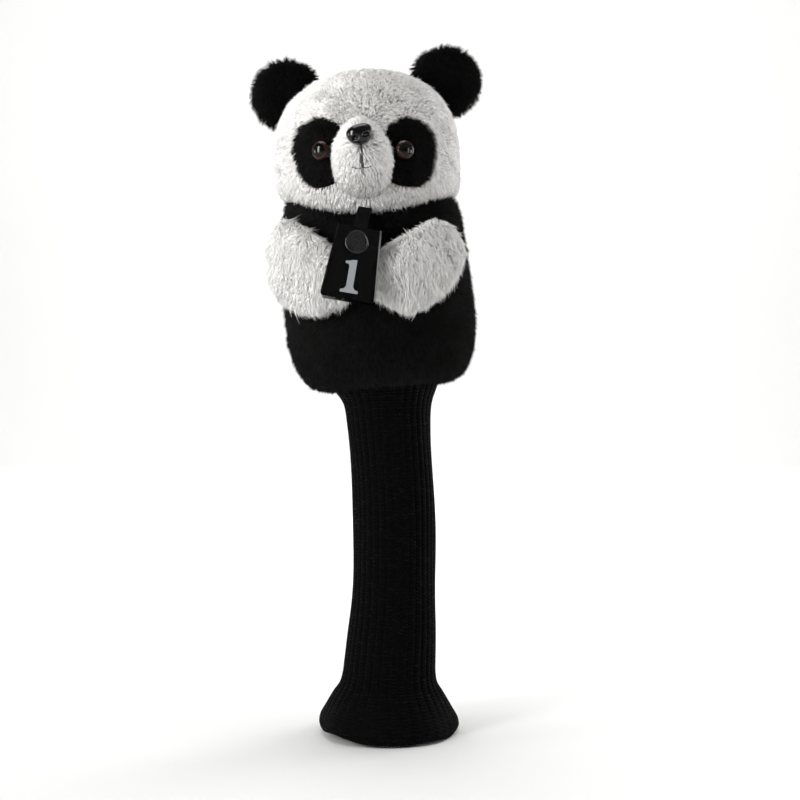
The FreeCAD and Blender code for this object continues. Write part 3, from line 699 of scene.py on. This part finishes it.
hemBand = np.clip((height - 9) / 12, 0, 1)                 # the ribs die away into a plain turned hem
flare = np.clip((30 - height) / 30, 0, 1) ** 2
wave = np.sin(turn * 5 + 0.6) * 0.5 + np.sin(turn * 8 + 2.0) * 0.3 + np.sin(turn * 3 + 1.0) * 0.35
scallop = np.abs(np.sin(turn * 60)) * np.clip((4 - height) / 5, 0, 1)
radius = radius - 0.6 + ribShape * sleeve["ribDepth"] / 2 * (0.12 + 0.88 * hemBand) + wave * flare * 1.3
height = height + wave * flare * sleeve["hemWave"] - scallop * 0.8 + np.sin(turn) * flare * sleeve["hemSway"]
height = height + sleeve["cornerLift"] * flare * np.clip(-np.cos(turn), 0, 1) ** 2   # one corner of the hem is lifted
bow = np.sin(np.clip((height - 20) / 190, 0, 1) * math.pi) ** 1.2   # the limp tube bows a little to one side
sway = sleeve["sway"] * bow
slack = np.sin(height / sleeve["foldPitch"] + np.sin(turn * 2) * 1.5)
fold = sleeve["fold"] * slack * np.clip((height - 40) / 60, 0, 1)
x = (radius + fold) * np.cos(turn) + sway
y = (radius + fold) * np.sin(turn)
writePoints(knit.data, np.stack([x, y, height], 1) * mm)
uv = knit.data.uv_layers[0] if knit.data.uv_layers else knit.data.uv_layers.new(name="knitMap")
uv.name = "knitMap"
corner = np.empty(len(knit.data.loops), int)
knit.data.loops.foreach_get("vertex_index", corner)
angle = (turn[corner] / (2 * math.pi)) % 1.0
quad = angle.reshape(-1, 4)
quad = np.where((quad.max(1) - quad.min(1) > 0.5)[:, None] & (quad < 0.5), quad + 1, quad)
mapU = quad.reshape(-1) * sleeve["ribs"]
mapV = share[corner] * sleeve["length"]
uv.data.foreach_set("uv", np.stack([mapU, mapV], 1).ravel())
turnNormalsOut(knit)
thicken(knit, sleeve["thickness"], -1)
bpy.ops.object.shade_smooth()
bent = readPoints(knit.data)
share = np.clip((bent[:, 2] / mm - 205) / 20, 0, 1)[:, None]
matrix = np.array(leaned())
leanedPoints = bent @ matrix[:3, :3].T + matrix[:3, 3]
writePoints(knit.data, bent * (1 - share) + leanedPoints * share)

# 2 by 2 rib of spun acrylic: matt yarn with a fine grey haze
knitMaterial, knitTree, knitSurface = newMaterial("ribKnitBlackAcrylic", {
    "Roughness": 0.9, "Specular IOR Level": 0.06, "Sheen Weight": 0.014, "Sheen Roughness": 0.5,
    "Sheen Tint": linear("#6a6f78")})
knitMap = addNode(knitTree, "ShaderNodeUVMap", {"uv_map": "knitMap"})
split = addNode(knitTree, "ShaderNodeSeparateXYZ", None, None, {0: knitMap.outputs[0]})
column = addNode(knitTree, "ShaderNodeMath", {"operation": "FRACT"}, None, {0: split.outputs[0]})
fromMiddle = addNode(knitTree, "ShaderNodeMath", {"operation": "SUBTRACT"}, {1: 0.5}, {0: column.outputs[0]})
armOfStitch = addNode(knitTree, "ShaderNodeMath", {"operation": "ABSOLUTE"}, None, {0: fromMiddle.outputs[0]})
slant = addNode(knitTree, "ShaderNodeMath", {"operation": "MULTIPLY_ADD"}, {1: 1.6},
                {0: armOfStitch.outputs[0], 2: split.outputs[1]})
course = addNode(knitTree, "ShaderNodeMath", {"operation": "MULTIPLY"}, {1: 6.2832 / sleeve["stitch"]},
                 {0: slant.outputs[0]})
stitch = addNode(knitTree, "ShaderNodeMath", {"operation": "SINE"}, None, {0: course.outputs[0]})   # a V-shaped stitch
knitPlace = addNode(knitTree, "ShaderNodeTexCoord")
fuzz = addNode(knitTree, "ShaderNodeTexNoise", None, {"Scale": 1800.0, "Detail": 3.0},
               {"Vector": knitPlace.outputs["Object"]})
relief = addNode(knitTree, "ShaderNodeMath", {"operation": "MULTIPLY_ADD"}, {1: 0.6},
                 {0: fuzz.outputs["Fac"], 2: stitch.outputs[0]})
bump = addNode(knitTree, "ShaderNodeBump", None, {"Strength": 0.7, "Distance": 0.5 * mm},
               {"Height": relief.outputs[0]})
knitTree.links.new(bump.outputs[0], knitSurface.inputs["Normal"])
# the yarn is painted darker in the stitch hollows and lighter on the raised loops: painted shade from the relief
hollowShade = addNode(knitTree, "ShaderNodeMapRange", None, {"From Min": -1.0, "From Max": 1.6, "To Min": 0.0, "To Max": 1.0},
               {"Value": relief.outputs[0]})
shadedYarn = addNode(knitTree, "ShaderNodeMix", {"data_type": "RGBA"}, {6: linear("#010101"), 7: linear("#030303")},
               {0: hollowShade.outputs[0]})
knitTree.links.new(shadedYarn.outputs[2], knitSurface.inputs["Base Color"])
knit.data.materials.append(knitMaterial)
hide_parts("sleeve_neck", "knit_sleeve", "sleeve_seam_tape")
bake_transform(knit)
print("sleeve done")

noise, weave = "ShaderNodeTexNoise", "ShaderNodeTexWave"
tagFinishes = {
    # polished tool finish: near-black with clear reflections
    "mouldedGlossyBlackAbs": ({"Base Color": linear("#020202"), "Roughness": 0.12, "IOR": 1.28},
                              (noise, None, {"Scale": 900.0, "Detail": 2.0}, 0.06, 0.2)),
    # mirror-polished studs: small bright glints
    "polishedGlossyBlackAbs": ({"Base Color": linear("#020202"), "Roughness": 0.08, "IOR": 1.6},
                               (noise, None, {"Scale": 900.0, "Detail": 2.0}, 0.1, 0.2)),
    # metallic paint on ABS: a flat cool grey
    "silverPaintedNumeral": ({"Base Color": linear("#8c9094"), "Roughness": 0.42, "Metallic": 0.3},
                             (noise, None, {"Scale": 2600.0, "Detail": 2.0}, 0.12, 0.1)),
    # plated wire: bright and slightly cloudy
    "zincPlatedSteel": ({"Base Color": linear("#b9bcc0"), "Roughness": 0.32, "Metallic": 1.0}, None),
    # flat nylon weave: dull black with fine ribs
    "wovenBlackWebbing": ({"Base Color": linear("#030303"), "Roughness": 0.9, "Specular IOR Level": 0.1},
                          (weave, {"bands_direction": "Z"}, {"Scale": 420.0, "Distortion": 0.4}, 0.6, 0.2)),
    # thin taffeta: dull with a slight sheen
    "wovenLiningPolyester": ({"Base Color": linear("#2a2a2c"), "Roughness": 0.6, "Sheen Weight": 0.3},
                             (weave, {"bands_direction": "Z"}, {"Scale": 300.0}, 0.3, 0.2)),
    # unpainted nylon: milky and waxy
    "mouldedNylonWasher": ({"Base Color": linear("#c9c6bd"), "Roughness": 0.45},
                           (noise, None, {"Scale": 700.0, "Detail": 2.0}, 0.15, 0.2))}
made = {}
for name, (shader, grain) in tagFinishes.items():
    made[name], tree, surface = newMaterial(name, shader)
    if grain:
        raiseGrain(tree, surface, *grain)
finishes = {"tag_plastic": made["mouldedGlossyBlackAbs"], "numeral_silver": made["silverPaintedNumeral"],
            "steel": made["zincPlatedSteel"], "webbing": made["wovenBlackWebbing"], "thread": threadMaterial,
            "lining": made["wovenLiningPolyester"], "wadding": made["wovenLiningPolyester"],
            "seam_tape": made["wovenLiningPolyester"], "washer_plastic": made["mouldedNylonWasher"]}
for part in frame["record"]["subparts"]:
    if part["material_slot"] in finishes:
        piece = nodes[part["node"]]
        piece = bpy.data.objects[piece] if isinstance(piece, str) else piece
        for slot in piece.material_slots:
            polished = part["node"].startswith("button")
            slot.material = made["polishedGlossyBlackAbs"] if polished else finishes[part["material_slot"]]
print("tag done")

# strap: one length of webbing doubled round the tag's bar
strap = {"width": 8.4, "thickness": 0.7, "bar": (2.0, -2.6), "top": (20.1, 19.0), "loop": 1.35, "gap": 0.38,
         "place": (-16.4, -79.5, 318.5), "roll": 9.3, "pitch": -8.0}
bar, top = np.array(strap["bar"]), np.array(strap["top"])
upward = (top - bar) / np.linalg.norm(top - bar)
front = np.array([-upward[1], upward[0]])
rise = np.linalg.norm(top - bar)


def layer(share, side):
    # one of the strap's two layers, which open round the bar over the last third
    apart = strap["gap"] + (strap["loop"] - strap["gap"]) * max(0, 1 - share * 3)
    return bar + upward * rise * share + side * front * apart


path = [layer(share, 1) for share in np.linspace(1, 0, 40)]
path += [bar + strap["loop"] * (front * math.cos(a) - upward * math.sin(a))
         for a in np.linspace(0.1, math.pi - 0.1, 24)]
path += [layer(share, -1) for share in np.linspace(0, 1, 40)]
deselectAll()
bpy.ops.mesh.primitive_grid_add(x_subdivisions=12, y_subdivisions=len(path) - 1, size=2)
webStrap = bpy.context.object
webStrap.name = "tagStrap"
unit = readPoints(webStrap.data)
row = np.rint((unit[:, 1] + 1) / 2 * (len(path) - 1)).astype(int)
path = np.array(path)
writePoints(webStrap.data, np.stack([unit[:, 0] * strap["width"] / 2, path[row, 0], path[row, 1]], 1) * mm)
thicken(webStrap, strap["thickness"], 0)
bpy.ops.object.shade_smooth()
webStrap.data.transform(Matrix.Translation(Vector(strap["place"]) * mm)
                        @ Matrix.Rotation(math.radians(strap["roll"]), 4, "Y")
                        @ Matrix.Rotation(math.radians(strap["pitch"]), 4, "X"))
webStrap.data.materials.append(finishes["webbing"])
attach(webStrap, "tag_cap")
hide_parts("tag_strap")

# lining: a smooth bag in the body for the club head
lining = {"outline": [(0, 229.5), (34.5, 230), (45, 233.5), (51, 243), (54.3, 256), (55, 268), (54.9, 284),
                      (53.9, 300), (51.9, 316), (47, 333), (0, 334.6)], "mouth": 231.0, "thickness": 0.5,
          "foldSize": 0.03, "foldDepth": 1.5}
bag = turnedSkin("pocketLining", lining["outline"], 96, 64, 296.0)
bpy.ops.object.mode_set(mode="EDIT")
bpy.ops.mesh.select_all(action="SELECT")
bpy.ops.mesh.bisect(plane_co=(0, 0, lining["mouth"] * mm), plane_no=(0, 0, 1), clear_inner=True)
bpy.ops.object.mode_set(mode="OBJECT")
shaped = readPoints(bag.data)
folds = np.abs(ripple(shaped, lining["foldSize"], 31)) * lining["foldDepth"] * mm
writePoints(bag.data, shaped - outward(shaped) * folds[:, None])
thicken(bag, lining["thickness"], -1)
bag.data.transform(leaned())
bag.data.materials.append(finishes["lining"])
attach(bag, "plush_figure")
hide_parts("pocket_lining", "pocket_top")
print("lining done")

# floor, backdrop and light
floorMaterial = newMaterial("paleStudioSweep", {"Base Color": linear("#f8f8f7"), "Roughness": 0.95})[0]   # matt paper
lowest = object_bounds()[0][2] - 0.0005
deselectAll()
bpy.ops.mesh.primitive_plane_add(size=12, location=(0, -2.5, lowest))
sweep = bpy.context.object
sweep.name = "studioSweep"
bpy.ops.object.mode_set(mode="EDIT")
shell = bmesh.from_edit_mesh(sweep.data)
for edge in shell.edges:
    edge.select_set(all(vertex.co.y > 1 for vertex in edge.verts))
bmesh.update_edit_mesh(sweep.data)
for step in range(12):
    turnUp = math.radians(7.5 * (step + 0.5))
    along = (0, 0.16 * math.cos(turnUp), 0.16 * math.sin(turnUp))
    bpy.ops.mesh.extrude_region_move(TRANSFORM_OT_translate={"value": along})
bpy.ops.mesh.extrude_region_move(TRANSFORM_OT_translate={"value": (0, 0, 6)})
bpy.ops.object.mode_set(mode="OBJECT")
bpy.ops.object.shade_smooth()
sweep.data.materials.append(floorMaterial)
# each light: its place, its width and height in metres, its watts and the height it is aimed at
lights = {"keyLeft": ((-1.05, -0.95, 0.60), (0.36, 1.1), 23.5, 0.28),
          "stripLeft": ((-1.0, -0.12, 0.34), (0.3, 0.3), 2.2, 0.3),
          "fillRight": ((1.1, -0.75, 0.40), (0.2, 0.8), 3.6, 0.28),
          "stripRight": ((1.0, -0.10, 0.34), (0.3, 0.3), 2.4, 0.3),
          "rimRight": ((0.75, 0.55, 0.5), (0.5, 0.5), 3.0, 0.28), "top": ((-0.1, 0.0, 1.35), (0.8, 0.8), 6.5, 0.28),
          "sweepWash": ((0.0, 1.4, 2.2), (2.4, 2.4), 100.0, None)}
for name, (place, size, power, aimHeight) in lights.items():
    deselectAll()
    bpy.ops.object.light_add(type="AREA", location=place)
    light = bpy.context.object
    light.name = name
    light.data.shape = "RECTANGLE"
    light.data.size = size[0]
    light.data.size_y = size[1]
    light.data.energy = power
    aim = Vector((0, 3.6, 0.6) if aimHeight is None else (0, 0, aimHeight)) - Vector(place)
    light.rotation_euler = aim.to_track_quat("-Z", "Y").to_euler()
world = bpy.context.scene.world or bpy.data.worlds.new("studio")
bpy.context.scene.world = world
world.use_nodes = True
world.node_tree.nodes["Background"].inputs[0].default_value = linear("#ffffff")
world.node_tree.nodes["Background"].inputs[1].default_value = 0.12
